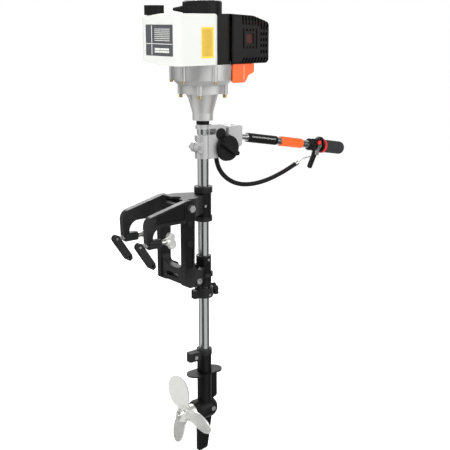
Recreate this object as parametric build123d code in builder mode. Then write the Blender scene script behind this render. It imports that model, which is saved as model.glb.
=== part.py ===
from build123d import *
import os
from math import atan2, cos, degrees, pi, radians, sin, tan

# A small petrol outboard motor: a brush-cutter engine with an upright crankshaft drives a shaft
# down an aluminium leg tube to a bevel gear case and a three-blade propeller. A clamp bracket
# holds it on a transom, and a folding tiller carries the throttle lever and the stop button.
# The origin is where the transom's top edge and outer face meet the bracket, at mid-width.
# +Z is up and +X points aft of the transom. All sizes are in millimetres.

# ---- driving dimensions ----
leg_x = 96                # leg axis behind the transom face
tube_r = 13               # leg tube, outside
tube_wall = 1.5
shaft_r = 4               # drive shaft
run_gap = 0.05            # radial running clearance
seat_gap = 0.05           # clearance between pieces fixed together
body_gap = 0.4            # clearance between pieces that move past each other

arm_y = 47                # mid-plane of each clamp arm
arm_t = 14                # thickness of a clamp arm
leg_depth = 29            # fore and aft depth of a bracket leg
bracket_foot_z = -148     # underside of the bracket's cross web
pivot_x, pivot_z = 19, 31         # tilt axis
pivot_r = 5
lock_x, lock_z = 38, -142         # lock bolt, which the bracket's hooks hold
lock_r = 4
screw_z = -37             # clamp screw axis below the seat
screw_r = 6
boss_x0, boss_x1 = -93.5, -62       # tapped boss of an arm
lever_pin_x = -117        # pin of the fold-over lever
lever_lean = 34           # lever's lean from straight down, degrees
lever_len = 65
pad_face_x = -30          # face of the clamp pad
pad_r = 19

sleeve_top_z, sleeve_low_z = 65, -17      # upper swivel sleeve
saddle_top_z, saddle_low_z = -102, -177   # lower swivel sleeve
bush_r = 15               # outside of the nylon swivel bushes
collar_top_z, collar_low_z = -180, -204   # friction collar

neck_top_z = -338         # top of the gear case neck
neck_r = 17.5
tube_foot_z = -372        # lower end of the leg tube
tube_top_z = 216          # upper end of the leg tube
plate_z = -399            # anti-ventilation plate
prop_z = -495             # propeller axis
case_r = 26               # round gear case
skeg_z = -607             # tip of the skeg
prop_r = 97
hub_x0, hub_x1 = 18, 60   # propeller hub
pinion_r, gear_r = 9, 13.5        # pitch radii of the bevel gears
blade_pitch = 18          # degrees

bracket_low_z, bracket_top_z = 131, 209   # tiller bracket on the tube
fold_x, fold_z = 146, 153         # tiller fold axis
fold_r = 5
tiller_x, tiller_z = 227, 168     # where the tiller tube begins
tiller_droop = 9.7        # degrees below level
tiller_r = 10
tiller_len = 326
grip_start, grip_end = 263, 333   # along the tiller tube
grip_r = 16
lever_s, lever_drop = 240, 18     # throttle lever pin, along and below the tiller tube

cone_low_z = 219          # lower end of the clutch housing
flange_low_z = 280        # underside of the clutch housing flange
fan_low_z, fan_top_z = 300, 343   # fan housing
fan_r = 70
crank_z = 401             # cylinder axis
throw = 17                # crank throw
bore_r = 22
tank_x0, tank_x1 = -24, 91
tank_y = 69
tank_low_z, tank_top_z = 346, 455
cap_x, cap_y = -1, 47
cover_x0, cover_x1 = 126, 236     # black cylinder cover
cover_y0, cover_y1 = -70, 38
cover_low_z = 346
starter_r = 44
starter_low_z, starter_top_z = 455.4, 483
handle_angle = 135        # direction of the starter handle, degrees from +X towards +Y

# ---- shared directions ----
along_x = (0, 90, 0)
along_y = (90, 0, 0)
base = (Align.CENTER, Align.CENTER, Align.MIN)
droop = radians(tiller_droop)
tiller_dir = Vector(cos(droop), 0, -sin(droop))
tiller_plane = Plane(origin=(tiller_x, 0, tiller_z), x_dir=(0, 1, 0), z_dir=tiller_dir)
tiller_up = Vector(sin(droop), 0, cos(droop))


def on_tiller(s, up=0, y=0):
    """A point s along the tiller tube, up above its axis and y to the side."""
    return Vector(tiller_x, y, tiller_z) + tiller_dir * s + tiller_up * up


os.makedirs("parts", exist_ok=True)

# ================= clamp bracket =================
hook_angle = degrees(atan2(lock_x - pivot_x, pivot_z - lock_z))
foot = lock_z - 12
with BuildPart() as clamp_bracket:
    with BuildSketch(Plane.XZ.offset(-arm_y), Plane.XZ.offset(arm_y)):
        with BuildLine():
            FilletPolyline(
                (0, bracket_foot_z), (0, 0), (-84, 0), (-84, screw_z), (-99.5, screw_z),
                (-101.5, 22), (8, pivot_z + 18), (leg_depth + 2, pivot_z + 18),
                (leg_depth, -112), (lock_x + 14, lock_z + 22), (lock_x + 14, foot), (16, foot - 2),
                radius=[6, 2, 24, 1, 3, 22, 12, 12, 16, 9, 9, 10], close=True)
        make_face()
    extrude(amount=arm_t / 2, both=True)
    # tapped boss for each clamp screw
    with BuildSketch(Plane.YZ.offset(boss_x0)):
        with Locations((-arm_y, screw_z), (arm_y, screw_z)):
            RectangleRounded(20, 20, 6)
    extrude(amount=boss_x1 - boss_x0)
    # pivot bosses and leg pads on the outer faces
    for side in (-1, 1):
        face_y = side * (arm_y + arm_t / 2)
        with Locations((pivot_x, face_y, pivot_z)):
            Cylinder(12, 4, rotation=along_y)
        with Locations((15, face_y, -4), (15, face_y, -50)):
            Cylinder(8, 3, rotation=along_y)
        # panels let into the outer faces
        with BuildSketch(Plane.XZ.offset(-face_y)):
            with BuildLine():
                FilletPolyline((-74, 7), (-74, 23), (2, 42), (2, 7), radius=4, close=True)
            make_face()
            with Locations((14.5, -84)):
                RectangleRounded(17, 46, 4)
        extrude(amount=1.5, both=True, mode=Mode.SUBTRACT)
    # cross web between the legs, with an arched top and a window
    with BuildSketch(Plane.YZ.offset(4)):
        with Locations((0, bracket_foot_z)):
            Rectangle(2 * arm_y - arm_t + 2, 60, align=(Align.CENTER, Align.MIN))
        with Locations((0, bracket_foot_z + 36)):
            RectangleRounded(2 * arm_y - arm_t, 2 * 50, 22, align=(Align.CENTER, Align.MIN),
                             mode=Mode.SUBTRACT)
        with Locations((0, bracket_foot_z + 16)):
            RectangleRounded(46, 9, 3, mode=Mode.SUBTRACT)
    extrude(amount=20)
    # bores: clamp screws, tilt bolt, and the open hooks for the lock bolt
    with Locations((-84, -arm_y, screw_z), (-84, arm_y, screw_z)):
        Cylinder(screw_r + run_gap, 90, rotation=along_x, mode=Mode.SUBTRACT)
    with Locations((pivot_x, 0, pivot_z)):
        Cylinder(pivot_r + seat_gap, 2 * arm_y + arm_t + 20, rotation=along_y, mode=Mode.SUBTRACT)
    with BuildSketch(Plane.XZ):
        with Locations((lock_x, lock_z)):
            Circle(lock_r + body_gap)
            Rectangle(30, 2 * (lock_r + body_gap + 0.3), rotation=hook_angle,
                      align=(Align.MIN, Align.CENTER))
    extrude(amount=arm_y + arm_t, both=True, mode=Mode.SUBTRACT)
clamp_bracket.part.label = "clamp_bracket"
export_step(clamp_bracket.part, "parts/clamp_bracket.step")

bolt_out = arm_y + arm_t / 2 + 2 + seat_gap      # outer face of a pivot boss
with BuildPart() as tilt_bolt:
    with Locations((pivot_x, 0, pivot_z)):
        Cylinder(pivot_r, 2 * bolt_out + 12, rotation=along_y)
    with BuildSketch(Plane.XZ.offset(bolt_out)):
        with Locations((pivot_x, pivot_z)):
            RegularPolygon(8.5, 6)
    extrude(amount=6.5)
    with BuildSketch(Plane.XZ.offset(-bolt_out)):
        with Locations((pivot_x, pivot_z)):
            RegularPolygon(8.5, 6)
    extrude(amount=-7)
tilt_bolt.part.label = "tilt_bolt"
export_step(tilt_bolt.part, "parts/tilt_bolt.step")

# ================= clamp screws, pads and fold-over levers =================
lean = radians(lever_lean)
lever_plane_x = (-cos(lean), 0, -sin(lean))
lever_dir = (sin(lean), 0, -cos(lean))
pad_back_x = pad_face_x - 16
pin_r = 2.5
for side, y in (("right", -arm_y), ("left", arm_y)):
    with BuildPart() as clamp_pad:
        with BuildSketch(Plane.XZ.offset(-y)):
            with BuildLine():
                Polyline((pad_back_x, screw_z + 5), (pad_back_x, screw_z + 8),
                         (pad_face_x - 9, screw_z + 9), (pad_face_x - 3, screw_z + pad_r),
                         (pad_face_x, screw_z + pad_r), (pad_face_x, screw_z + pad_r - 4),
                         (pad_face_x - 5, screw_z + 9), (pad_face_x - 5, screw_z),
                         (pad_back_x, screw_z), (pad_back_x, screw_z + 5))
            make_face()
        revolve(axis=Axis((0, y, screw_z), (1, 0, 0)))
        with Locations((pad_back_x, y, screw_z)):
            Cylinder(4.5 + run_gap, 8.5, rotation=along_x, align=base, mode=Mode.SUBTRACT)
    clamp_pad.part.label = side + "_clamp_pad"
    export_step(clamp_pad.part, "parts/" + side + "_clamp_pad.step")

    with BuildPart() as clamp_screw:
        with Locations((lever_pin_x + 15.5, y, screw_z)):
            Cylinder(screw_r, pad_back_x - 0.4 - lever_pin_x - 15.5, rotation=along_x, align=base)
        with Locations((pad_back_x - 0.6, y, screw_z)):
            Cylinder(4.5, 8.4, rotation=along_x, align=base)
        # flat tongue with its riveted pin
        with BuildSketch(Plane.XZ.offset(-y)):
            with Locations((lever_pin_x, screw_z)):
                Circle(5.3)
                Rectangle(17, 10.6, align=(Align.MIN, Align.CENTER))
        extrude(amount=2.8, both=True)
        with Locations((lever_pin_x, y, screw_z)):
            Cylinder(pin_r, 14, rotation=along_y)
    clamp_screw.part.label = side + "_clamp_screw"
    export_step(clamp_screw.part, "parts/" + side + "_clamp_screw.step")

    with BuildPart() as screw_lever:
        with BuildSketch(Plane(origin=(lever_pin_x, y, screw_z), x_dir=lever_dir, z_dir=(0, -1, 0))):
            Circle(8.5)
            with Locations((0, 0)):
                Rectangle(lever_len - 8, 17, align=(Align.MIN, Align.CENTER))
            with Locations((lever_len - 8, 0)):
                Trapezoid(17, 9, 65, rotation=-90, align=(Align.CENTER, Align.MIN))
            with Locations((lever_len - 8, 0)):
                SlotOverall(9, 5.5, rotation=90, mode=Mode.SUBTRACT)
            Circle(pin_r + run_gap, mode=Mode.SUBTRACT)
        extrude(amount=6, both=True)
        # fork for the tongue
        with BuildSketch(Plane(origin=(lever_pin_x, y, screw_z), x_dir=lever_dir, z_dir=(0, -1, 0))):
            Rectangle(2 * 14.5, 40)
        extrude(amount=3.2, both=True, mode=Mode.SUBTRACT)
    screw_lever.part.label = side + "_screw_lever"
    export_step(screw_lever.part, "parts/" + side + "_screw_lever.step")

# ================= swivel bracket =================
cheek_out = arm_y - arm_t / 2 - body_gap     # outer face of a cheek
sleeve_r = bush_r + 3.5
with BuildPart() as upper_swivel_sleeve:
    with Locations((leg_x, 0, sleeve_low_z)):
        Cylinder(sleeve_r, sleeve_top_z - sleeve_low_z, align=base)
        Cylinder(sleeve_r + 2.5, 12, align=base)
    with Locations((leg_x, 0, sleeve_top_z - 14)):
        Cylinder(sleeve_r + 3, 14, align=base)
    # bridge between the arms, hollow below its top plate
    with BuildSketch(Plane.XY.offset(6)):
        Polygon((10, -cheek_out), (44, -cheek_out), (82, -sleeve_r), (leg_x, -sleeve_r),
                (leg_x, sleeve_r), (82, sleeve_r), (44, cheek_out), (10, cheek_out), align=None)
    extrude(amount=pivot_z + 18 - 6)
    with BuildSketch(Plane.XY.offset(6)):
        Polygon((0, -cheek_out + 6), (42, -cheek_out + 6), (74, -sleeve_r + 5),
                (74, sleeve_r - 5), (42, cheek_out - 6), (0, cheek_out - 6), align=None)
    extrude(amount=pivot_z + 18 - 6 - 5, mode=Mode.SUBTRACT)
    # half-round cut-out in the front edge of the plate
    with BuildSketch(Plane.XY.offset(pivot_z)):
        with Locations((10, -6)):
            Circle(15)
    extrude(amount=30, mode=Mode.SUBTRACT)
    # rounded lower front corners of the cheeks round the tilt bolt
    with BuildSketch(Plane.XZ):
        with Locations((10, 6)):
            Rectangle(14, 12)
        with Locations((pivot_x, pivot_z)):
            Circle(13, mode=Mode.SUBTRACT)
    extrude(amount=2 * arm_y, both=True, mode=Mode.SUBTRACT)
    with Locations((leg_x, 0, sleeve_low_z)):
        Cylinder(bush_r + seat_gap, 200, mode=Mode.SUBTRACT)
    with Locations((pivot_x, 0, pivot_z)):
        Cylinder(pivot_r + run_gap, 2 * arm_y, rotation=along_y, mode=Mode.SUBTRACT)
upper_swivel_sleeve.part.label = "upper_swivel_sleeve"
export_step(upper_swivel_sleeve.part, "parts/upper_swivel_sleeve.step")

saddle_r = bush_r + 3
with BuildPart() as lower_swivel_sleeve:
    with Locations((leg_x, 0, saddle_low_z)):
        Cylinder(saddle_r, saddle_top_z - saddle_low_z, align=base)
    with Locations((leg_x, 0, lock_z - 10)):
        Cylinder(saddle_r + 4, 9, align=base)
    with BuildSketch(Plane.XY.offset(lock_z - 12)):
        Polygon((30, -cheek_out), (46, -cheek_out), (84, -saddle_r), (leg_x, -saddle_r),
                (leg_x, saddle_r), (84, saddle_r), (46, cheek_out), (30, cheek_out), align=None)
    extrude(amount=30)
    with BuildSketch(Plane.XY.offset(lock_z - 12)):
        Polygon((20, -cheek_out + 7), (44, -cheek_out + 7), (76, -saddle_r + 7),
                (76, saddle_r - 7), (44, cheek_out - 7), (20, cheek_out - 7), align=None)
    extrude(amount=30, mode=Mode.SUBTRACT)
    # the ears slope down towards the lock bolt
    with BuildSketch(Plane.XZ):
        Polygon((20, lock_z + 9), (46, lock_z + 9), (74, lock_z + 18), (74, lock_z + 40),
                (20, lock_z + 40), align=None)
    extrude(amount=2 * arm_y, both=True, mode=Mode.SUBTRACT)
    with Locations((leg_x, 0, saddle_low_z)):
        Cylinder(bush_r + seat_gap, 300, mode=Mode.SUBTRACT)
    with Locations((lock_x, 0, lock_z)):
        Cylinder(lock_r + seat_gap, 2 * arm_y, rotation=along_y, mode=Mode.SUBTRACT)
lower_swivel_sleeve.part.label = "lower_swivel_sleeve"
export_step(lower_swivel_sleeve.part, "parts/lower_swivel_sleeve.step")

with BuildPart() as swivel_bushes:
    for low, top in ((sleeve_low_z, sleeve_top_z), (saddle_low_z, saddle_top_z)):
        with Locations((leg_x, 0, low + 1)):
            Cylinder(bush_r, top - low - 2, align=base)
            Cylinder(tube_r + run_gap, top - low - 2, align=base, mode=Mode.SUBTRACT)
swivel_bushes.part.label = "swivel_bushes"
export_step(swivel_bushes.part, "parts/swivel_bushes.step")

with BuildPart() as friction_collar:
    with Locations((leg_x, 0, collar_low_z)):
        Cylinder(saddle_r + 4, collar_top_z - collar_low_z, align=base)
    with BuildSketch(Plane.XY.offset(collar_low_z)):
        with Locations((leg_x - 22, 0)):
            RectangleRounded(24, 18, 6)
        with Locations((leg_x + 19, 0)):
            RectangleRounded(14, 16, 4)
    extrude(amount=collar_top_z - collar_low_z - 4)
    with Locations((leg_x, 0, collar_low_z)):
        Cylinder(tube_r + 2 * run_gap, 100, mode=Mode.SUBTRACT)
    with Locations((leg_x, 0, collar_low_z + 12)):
        Cylinder(3 + run_gap, 60, rotation=along_x, align=base, mode=Mode.SUBTRACT)
    # slit that lets the collar close
    with Locations((leg_x - 24, 0, collar_low_z)):
        Box(26, 2, 100, mode=Mode.SUBTRACT)
friction_collar.part.label = "friction_collar"
export_step(friction_collar.part, "parts/friction_collar.step")

bolt_half = arm_y + arm_t / 2 + body_gap
with BuildPart() as swivel_bolts:
    with Locations((lock_x, 0, lock_z)):
        Cylinder(lock_r, 2 * bolt_half + 6, rotation=along_y)
    for side in (-1, 1):
        with Locations((lock_x, side * (bolt_half + 3), lock_z)):
            Cylinder(7, 6, rotation=along_y)
    with Locations((lock_x, -bolt_half - 5, lock_z)):
        Cylinder(3, 4, rotation=along_y, mode=Mode.SUBTRACT)
    # small screws in the sleeve, the saddle and the collar
    with Locations((87, -sleeve_r - 1.15, 21), (leg_x, -saddle_r - 1.2, saddle_top_z - 8),
                   (leg_x, -saddle_r - 5.2, collar_low_z + 8)):
        Cylinder(3.2, 2.2, rotation=along_y)
swivel_bolts.part.label = "swivel_bolts"
export_step(swivel_bolts.part, "parts/swivel_bolts.step")

knob_z = collar_low_z + 12
with BuildPart() as friction_knob:
    with Locations((leg_x + tube_r + 0.4, 0, knob_z)):
        Cylinder(3, 18, rotation=along_x, align=base)
    with Locations((leg_x + 27, 0, knob_z)):
        Cylinder(8, 12, rotation=along_x, align=base)
    with BuildSketch(Plane.YZ.offset(leg_x + 29)):
        with Locations((0, knob_z)):
            SlotOverall(30, 9, rotation=60)
    extrude(amount=9)
friction_knob.part.label = "friction_knob"
export_step(friction_knob.part, "parts/friction_knob.step")

# ================= leg, gear case and propeller =================
with BuildPart() as leg_tube:
    with Locations((leg_x, 0, tube_foot_z)):
        Cylinder(tube_r, tube_top_z - tube_foot_z, align=base)
        Cylinder(tube_r - tube_wall, tube_top_z - tube_foot_z, align=base, mode=Mode.SUBTRACT)
leg_tube.part.label = "leg_tube"
export_step(leg_tube.part, "parts/leg_tube.step")

shaft_bush_zs = (-330, -150, 40, 196)
with BuildPart() as shaft_bushes:
    for bush_z in shaft_bush_zs:
        with Locations((leg_x, 0, bush_z)):
            Cylinder(tube_r - tube_wall - seat_gap, 18)
            Cylinder(shaft_r + run_gap, 18, mode=Mode.SUBTRACT)
shaft_bushes.part.label = "shaft_bushes"
export_step(shaft_bushes.part, "parts/shaft_bushes.step")

case_x0, case_x1 = 62, 130        # round gear case, propeller face and nose
pinion_seat_z = -470
with BuildPart() as gear_case:
    with Locations((leg_x, 0, prop_z)):
        Cylinder(neck_r, neck_top_z - prop_z, align=base)
    with Locations((leg_x, 0, neck_top_z - 14)):
        Cylinder(neck_r + 1.5, 14, align=base)
    # round case with a domed nose
    with BuildSketch(Plane.XZ):
        with BuildLine():
            Line((case_x0, prop_z), (case_x0, prop_z + case_r - 3))
            Line((case_x0, prop_z + case_r - 3), (case_x0 + 8, prop_z + case_r))
            Line((case_x0 + 8, prop_z + case_r), (case_x1 - case_r, prop_z + case_r))
            CenterArc((case_x1 - case_r, prop_z), case_r, 0, 90)
            Line((case_x1, prop_z), (case_x0, prop_z))
        make_face()
    revolve(axis=Axis((0, 0, prop_z), (1, 0, 0)))
    # skeg and the fin ahead of the column
    with BuildSketch(Plane.XZ):
        with BuildLine():
            FilletPolyline((73, prop_z), (73, skeg_z), (102, skeg_z + 4), (120, prop_z),
                           radius=[0.5, 6, 6, 0.5], close=True)
        make_face()
    extrude(amount=4, both=True)
    with BuildSketch(Plane.XZ):
        with BuildLine():
            FilletPolyline((leg_x, prop_z + 10), (leg_x + 37, prop_z + 24), (leg_x + 37, plate_z),
                           (leg_x, plate_z), radius=[0.5, 4, 2, 0.5], close=True)
        make_face()
    extrude(amount=3, both=True)
    # anti-ventilation plate
    with BuildSketch(Plane.XY.offset(plate_z - 2)):
        with Locations((leg_x, 0)):
            SlotOverall(98, 44)
    extrude(amount=4)
    # clamp lug on the neck, slit through to the bore
    with BuildSketch(Plane.XY.offset(neck_top_z - 24)):
        with Locations((leg_x - 30, 0)):
            RectangleRounded(38, 20, 6)
    extrude(amount=22)
    with Locations((leg_x, 0, tube_foot_z)):
        Cylinder(tube_r + seat_gap, 100, align=base, mode=Mode.SUBTRACT)
    with Locations((leg_x - 34, 0, neck_top_z - 30)):
        Box(34, 1.6, 60, align=base, mode=Mode.SUBTRACT)
    with Locations((leg_x - 34, 0, neck_top_z - 13)):
        Cylinder(3 + seat_gap, 60, rotation=along_y, mode=Mode.SUBTRACT)
    with Locations((104, -case_r, prop_z + 4)):
        Cylinder(6 + seat_gap, 6, rotation=along_y, mode=Mode.SUBTRACT)
    # shaft passage, bearing seats and the gear chamber
    with Locations((leg_x, 0, prop_z)):
        Cylinder(8, tube_foot_z - prop_z + 1, align=base, mode=Mode.SUBTRACT)
    with Locations((leg_x, 0, prop_z)):
        Cylinder(11 + seat_gap, 36, align=base, mode=Mode.SUBTRACT)
    with Locations((case_x0, 0, prop_z)):
        Cylinder(15, 52, rotation=along_x, align=base, mode=Mode.SUBTRACT)
        Cylinder(19 + seat_gap, 12, rotation=along_x, align=base, mode=Mode.SUBTRACT)
        Cylinder(11 + seat_gap, 60, rotation=along_x, align=base, mode=Mode.SUBTRACT)
gear_case.part.label = "gear_case"
export_step(gear_case.part, "parts/gear_case.step")

with BuildPart() as bearing_carrier:
    with Locations((case_x0 - 2, 0, prop_z)):
        Cylinder(21, 2, rotation=along_x, align=base)
    with Locations((case_x0, 0, prop_z)):
        Cylinder(19, 12, rotation=along_x, align=base)
    with Locations((case_x0 - 2, 0, prop_z)):
        Cylinder(5 + 2 * run_gap, 40, rotation=along_x, align=base, mode=Mode.SUBTRACT)
    with Locations((case_x0 + 3, 0, prop_z)):
        Cylinder(13 + seat_gap, 40, rotation=along_x, align=base, mode=Mode.SUBTRACT)
bearing_carrier.part.label = "bearing_carrier"
export_step(bearing_carrier.part, "parts/bearing_carrier.step")

with BuildPart() as drive_shaft:
    with Locations((leg_x, 0, prop_z + gear_r)):
        Cylinder(shaft_r, 241 - prop_z - gear_r, align=base)
    # bevel pinion, drawn as its pitch cone
    with BuildSketch(Plane.XZ):
        with BuildLine():
            Polyline((leg_x, prop_z + 8), (leg_x + pinion_r * 8 / gear_r - 0.2, prop_z + 8),
                     (leg_x + pinion_r - 0.2, prop_z + gear_r), (leg_x + 7, prop_z + gear_r + 6),
                     (leg_x, prop_z + gear_r + 6), (leg_x, prop_z + 8))
        make_face()
    revolve(axis=Axis((leg_x, 0, 0), (0, 0, 1)))
drive_shaft.part.label = "drive_shaft"
export_step(drive_shaft.part, "parts/drive_shaft.step")

with BuildPart() as propeller_shaft:
    with Locations((hub_x0 - 6, 0, prop_z)):
        Cylinder(5, 75, rotation=along_x, align=base)
    with Locations((87, 0, prop_z)):
        Cylinder(4, 33, rotation=along_x, align=base)
    # driven bevel gear, drawn as its pitch cone
    with BuildSketch(Plane.XZ):
        with BuildLine():
            Polyline((leg_x - 16, prop_z), (leg_x - 16, prop_z + 8), (leg_x - pinion_r - 3, prop_z + gear_r),
                     (leg_x - pinion_r, prop_z + gear_r - 0.2),
                     (leg_x - pinion_r * 8 / gear_r, prop_z + 8 - 0.2),
                     (leg_x - pinion_r * 8 / gear_r, prop_z), (leg_x - 16, prop_z))
        make_face()
    revolve(axis=Axis((0, 0, prop_z), (1, 0, 0)))
    with Locations((hub_x0 - 2.5, 0, prop_z)):
        Cylinder(1.3, 40, mode=Mode.SUBTRACT)
propeller_shaft.part.label = "propeller_shaft"
export_step(propeller_shaft.part, "parts/propeller_shaft.step")

hub_mid = 32
pitch = radians(blade_pitch)
with BuildPart() as propeller:
    with BuildSketch(Plane.XZ):
        with BuildLine():
            Polyline((hub_x0, prop_z), (hub_x0, prop_z + 14), (hub_x0 + 6, prop_z + 17),
                     (hub_x1 - 8, prop_z + 19.5), (hub_x1 - 1, prop_z + 19.5),
                     (hub_x1 - 1, prop_z), (hub_x0, prop_z))
        make_face()
    revolve(axis=Axis((0, 0, prop_z), (1, 0, 0)))
    for angle in (60, 180, 300):
        a = radians(angle)
        radial = Vector(0, cos(a), sin(a))
        chord = Vector(-sin(pitch), sin(a) * cos(pitch), -cos(a) * cos(pitch))
        with BuildSketch(Plane(origin=(hub_mid + 6, 0, prop_z), x_dir=radial,
                               z_dir=radial.cross(chord))):
            with Locations((prop_r - 41, 0)):
                Ellipse(41, 30)
            Rectangle(42, 36, align=(Align.MIN, Align.CENTER))
        extrude(amount=1.6, both=True)
    with Locations((hub_x0 - 1, 0, prop_z)):
        Cylinder(5 + seat_gap, 90, rotation=along_x, align=base, mode=Mode.SUBTRACT)
propeller.part.label = "propeller"
export_step(propeller.part, "parts/propeller.step")

with BuildPart() as prop_pin:
    with Locations((hub_x0 - 2.5, 0, prop_z)):
        Cylinder(1.2, 22)
        with Locations((0, 0, 11)):
            Torus(2.6, 0.9, rotation=along_x)
prop_pin.part.label = "prop_pin"
export_step(prop_pin.part, "parts/prop_pin.step")

# ================= clutch, fan housing and crankshaft =================
with BuildPart() as clutch_housing:
    with BuildSketch(Plane.XZ):
        with BuildLine():
            Polyline((leg_x + tube_r + seat_gap, cone_low_z), (leg_x + 23.5, cone_low_z),
                     (leg_x + 23.5, 235), (leg_x + 36, flange_low_z), (leg_x + 50, flange_low_z),
                     (leg_x + 50, fan_low_z - seat_gap), (leg_x + 42, fan_low_z - seat_gap),
                     (leg_x + 42, 284), (leg_x + 33, 284), (leg_x + 20, 247),
                     (leg_x + 14 + seat_gap, 247), (leg_x + 14 + seat_gap, 237),
                     (leg_x + 10, 237), (leg_x + 10, 232), (leg_x + tube_r + seat_gap, 232),
                     (leg_x + tube_r + seat_gap, cone_low_z))
        make_face()
    revolve(axis=Axis((leg_x, 0, 0), (0, 0, 1)))
    with BuildSketch(Plane.XY.offset(flange_low_z - 2)):
        with Locations((leg_x, 0)):
            with PolarLocations(50.5, 4, start_angle=45):
                Circle(7)
    extrude(amount=fan_low_z - seat_gap - flange_low_z + 2)
    # ribs down the cone
    with BuildSketch(Plane.XZ):
        for side in (-1, 1):
            Polygon((leg_x + side * 28, 255), (leg_x + side * 35, flange_low_z),
                    (leg_x + side * 46, flange_low_z), align=None)
    extrude(amount=2, both=True)
    with Locations((leg_x, 0, flange_low_z)):
        with PolarLocations(50.5, 4, start_angle=45):
            Hole(3 + seat_gap, 60)
clutch_housing.part.label = "clutch_housing"
export_step(clutch_housing.part, "parts/clutch_housing.step")

with BuildPart() as neck_ring:
    with Locations((leg_x, 0, bracket_top_z + 0.4)):
        Cylinder(14.5, cone_low_z - bracket_top_z - 0.8, align=base)
        Cylinder(tube_r + seat_gap, 40, mode=Mode.SUBTRACT)
neck_ring.part.label = "neck_ring"
export_step(neck_ring.part, "parts/neck_ring.step")

with BuildPart() as fan_housing:
    with BuildSketch(Plane.XZ):
        with BuildLine():
            Polyline((leg_x + 42, fan_low_z), (leg_x + 57, fan_low_z), (leg_x + fan_r - 2, fan_low_z + 11),
                     (leg_x + fan_r, fan_top_z), (leg_x + fan_r - 3.5, fan_top_z),
                     (leg_x + fan_r - 5.5, fan_low_z + 13), (leg_x + 55, fan_low_z + 4),
                     (leg_x + 42, fan_low_z + 4), (leg_x + 42, fan_low_z))
        make_face()
    revolve(axis=Axis((leg_x, 0, 0), (0, 0, 1)))
    with BuildSketch(Plane.XY.offset(fan_low_z + 10)):
        with Locations((leg_x, 0)):
            with PolarLocations(fan_r, 6, start_angle=15):
                Circle(6)
            Circle(fan_r - 2.6, mode=Mode.SUBTRACT)
    extrude(amount=fan_top_z - fan_low_z - 10)
    # feet that take the clutch housing's bolts
    with BuildSketch(Plane.XY.offset(fan_low_z)):
        with Locations((leg_x, 0)):
            with PolarLocations(50.5, 4, start_angle=45):
                Circle(7)
    extrude(amount=5)
    with Locations((leg_x, 0, fan_low_z)):
        with PolarLocations(50.5, 4, start_angle=45):
            Hole(3 + seat_gap, 60)
    with Locations((leg_x, 0, fan_low_z + 10)):
        with PolarLocations(fan_r + 1.6, 6, start_angle=15):
            Cylinder(2.5 + seat_gap, 12, mode=Mode.SUBTRACT)
    # gap towards the cylinder, where the cooling air leaves
    with Locations((leg_x + fan_r, 0, fan_low_z + 14)):
        Box(24, 70, 60, align=base, mode=Mode.SUBTRACT)
fan_housing.part.label = "fan_housing"
export_step(fan_housing.part, "parts/fan_housing.step")

with BuildPart() as engine_bolts:
    with Locations((leg_x, 0, flange_low_z - 10)):
        with PolarLocations(50.5, 4, start_angle=45):
            Cylinder(3, 20, align=base)
            with Locations((0, 0, 0.4)):
                Cylinder(4.4, 7.4, align=base)
    with Locations((leg_x, 0, fan_low_z + 5)):
        with PolarLocations(fan_r + 1.6, 6, start_angle=15):
            Cylinder(2.5, 10, align=base)
            with Locations((0, 0, 0)):
                Cylinder(4, 4.9, align=base)
engine_bolts.part.label = "engine_bolts"
export_step(engine_bolts.part, "parts/engine_bolts.step")

with BuildPart() as clutch_drum:
    with Locations((leg_x, 0, 285)):
        Cylinder(39, 21, align=base)
    with Locations((leg_x, 0, 288)):
        Cylinder(36.5, 21, align=base, mode=Mode.SUBTRACT)
    with Locations((leg_x, 0, 238)):
        Cylinder(6, 47, align=base)
    with Locations((leg_x, 0, 248)):
        Cylinder(9, 37, align=base)
    with Locations((leg_x, 0, 230)):
        Cylinder(shaft_r + seat_gap, 12, align=base, mode=Mode.SUBTRACT)
clutch_drum.part.label = "clutch_drum"
export_step(clutch_drum.part, "parts/clutch_drum.step")

web_gap = 12
with BuildPart() as crankshaft:
    with Locations((leg_x, 0, 290)):
        Cylinder(7.5, crank_z - web_gap / 2 - 290 - 4, align=base)
    with Locations((leg_x, 0, crank_z - web_gap / 2 - 8)):
        Cylinder(27, 8, align=base)
    with Locations((leg_x, 0, crank_z + web_gap / 2)):
        Cylinder(27, 8, align=base)
        Cylinder(7.5, 30, align=base)
        Cylinder(5, 52, align=base)
    with Locations((leg_x + throw, 0, crank_z)):
        Cylinder(8, web_gap + 2)
    # lightened on the crankpin's side, so the webs act as counterweights
    for side in (-1, 1):
        with Locations((leg_x + 14, side * 24, crank_z)):
            Cylinder(8, 60, mode=Mode.SUBTRACT)
crankshaft.part.label = "crankshaft"
export_step(crankshaft.part, "parts/crankshaft.step")

with BuildPart() as flywheel:
    with Locations((leg_x, 0, 312)):
        Cylinder(57, 7, align=base)
        Cylinder(15, 20, align=base)
    with BuildSketch(Plane.XY.offset(318)):
        with Locations((leg_x, 0)):
            with PolarLocations(44, 14):
                Rectangle(24, 3, rotation=30)
    extrude(amount=18)
    with Locations((leg_x, 0, 300)):
        Cylinder(7.5 + seat_gap, 80, align=base, mode=Mode.SUBTRACT)
flywheel.part.label = "flywheel"
export_step(flywheel.part, "parts/flywheel.step")

with BuildPart() as clutch_shoes:
    with BuildSketch(Plane.XY.offset(291)):
        with Locations((leg_x, 0)):
            Circle(35)
            Circle(16, mode=Mode.SUBTRACT)
            Rectangle(80, 9, mode=Mode.SUBTRACT)
    extrude(amount=13)
    with BuildSketch(Plane.XY.offset(291)):
        with Locations((leg_x, 0)):
            Circle(15.6)
            Circle(7.5 + seat_gap, mode=Mode.SUBTRACT)
    extrude(amount=20.6)
clutch_shoes.part.label = "clutch_shoes"
export_step(clutch_shoes.part, "parts/clutch_shoes.step")

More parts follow.
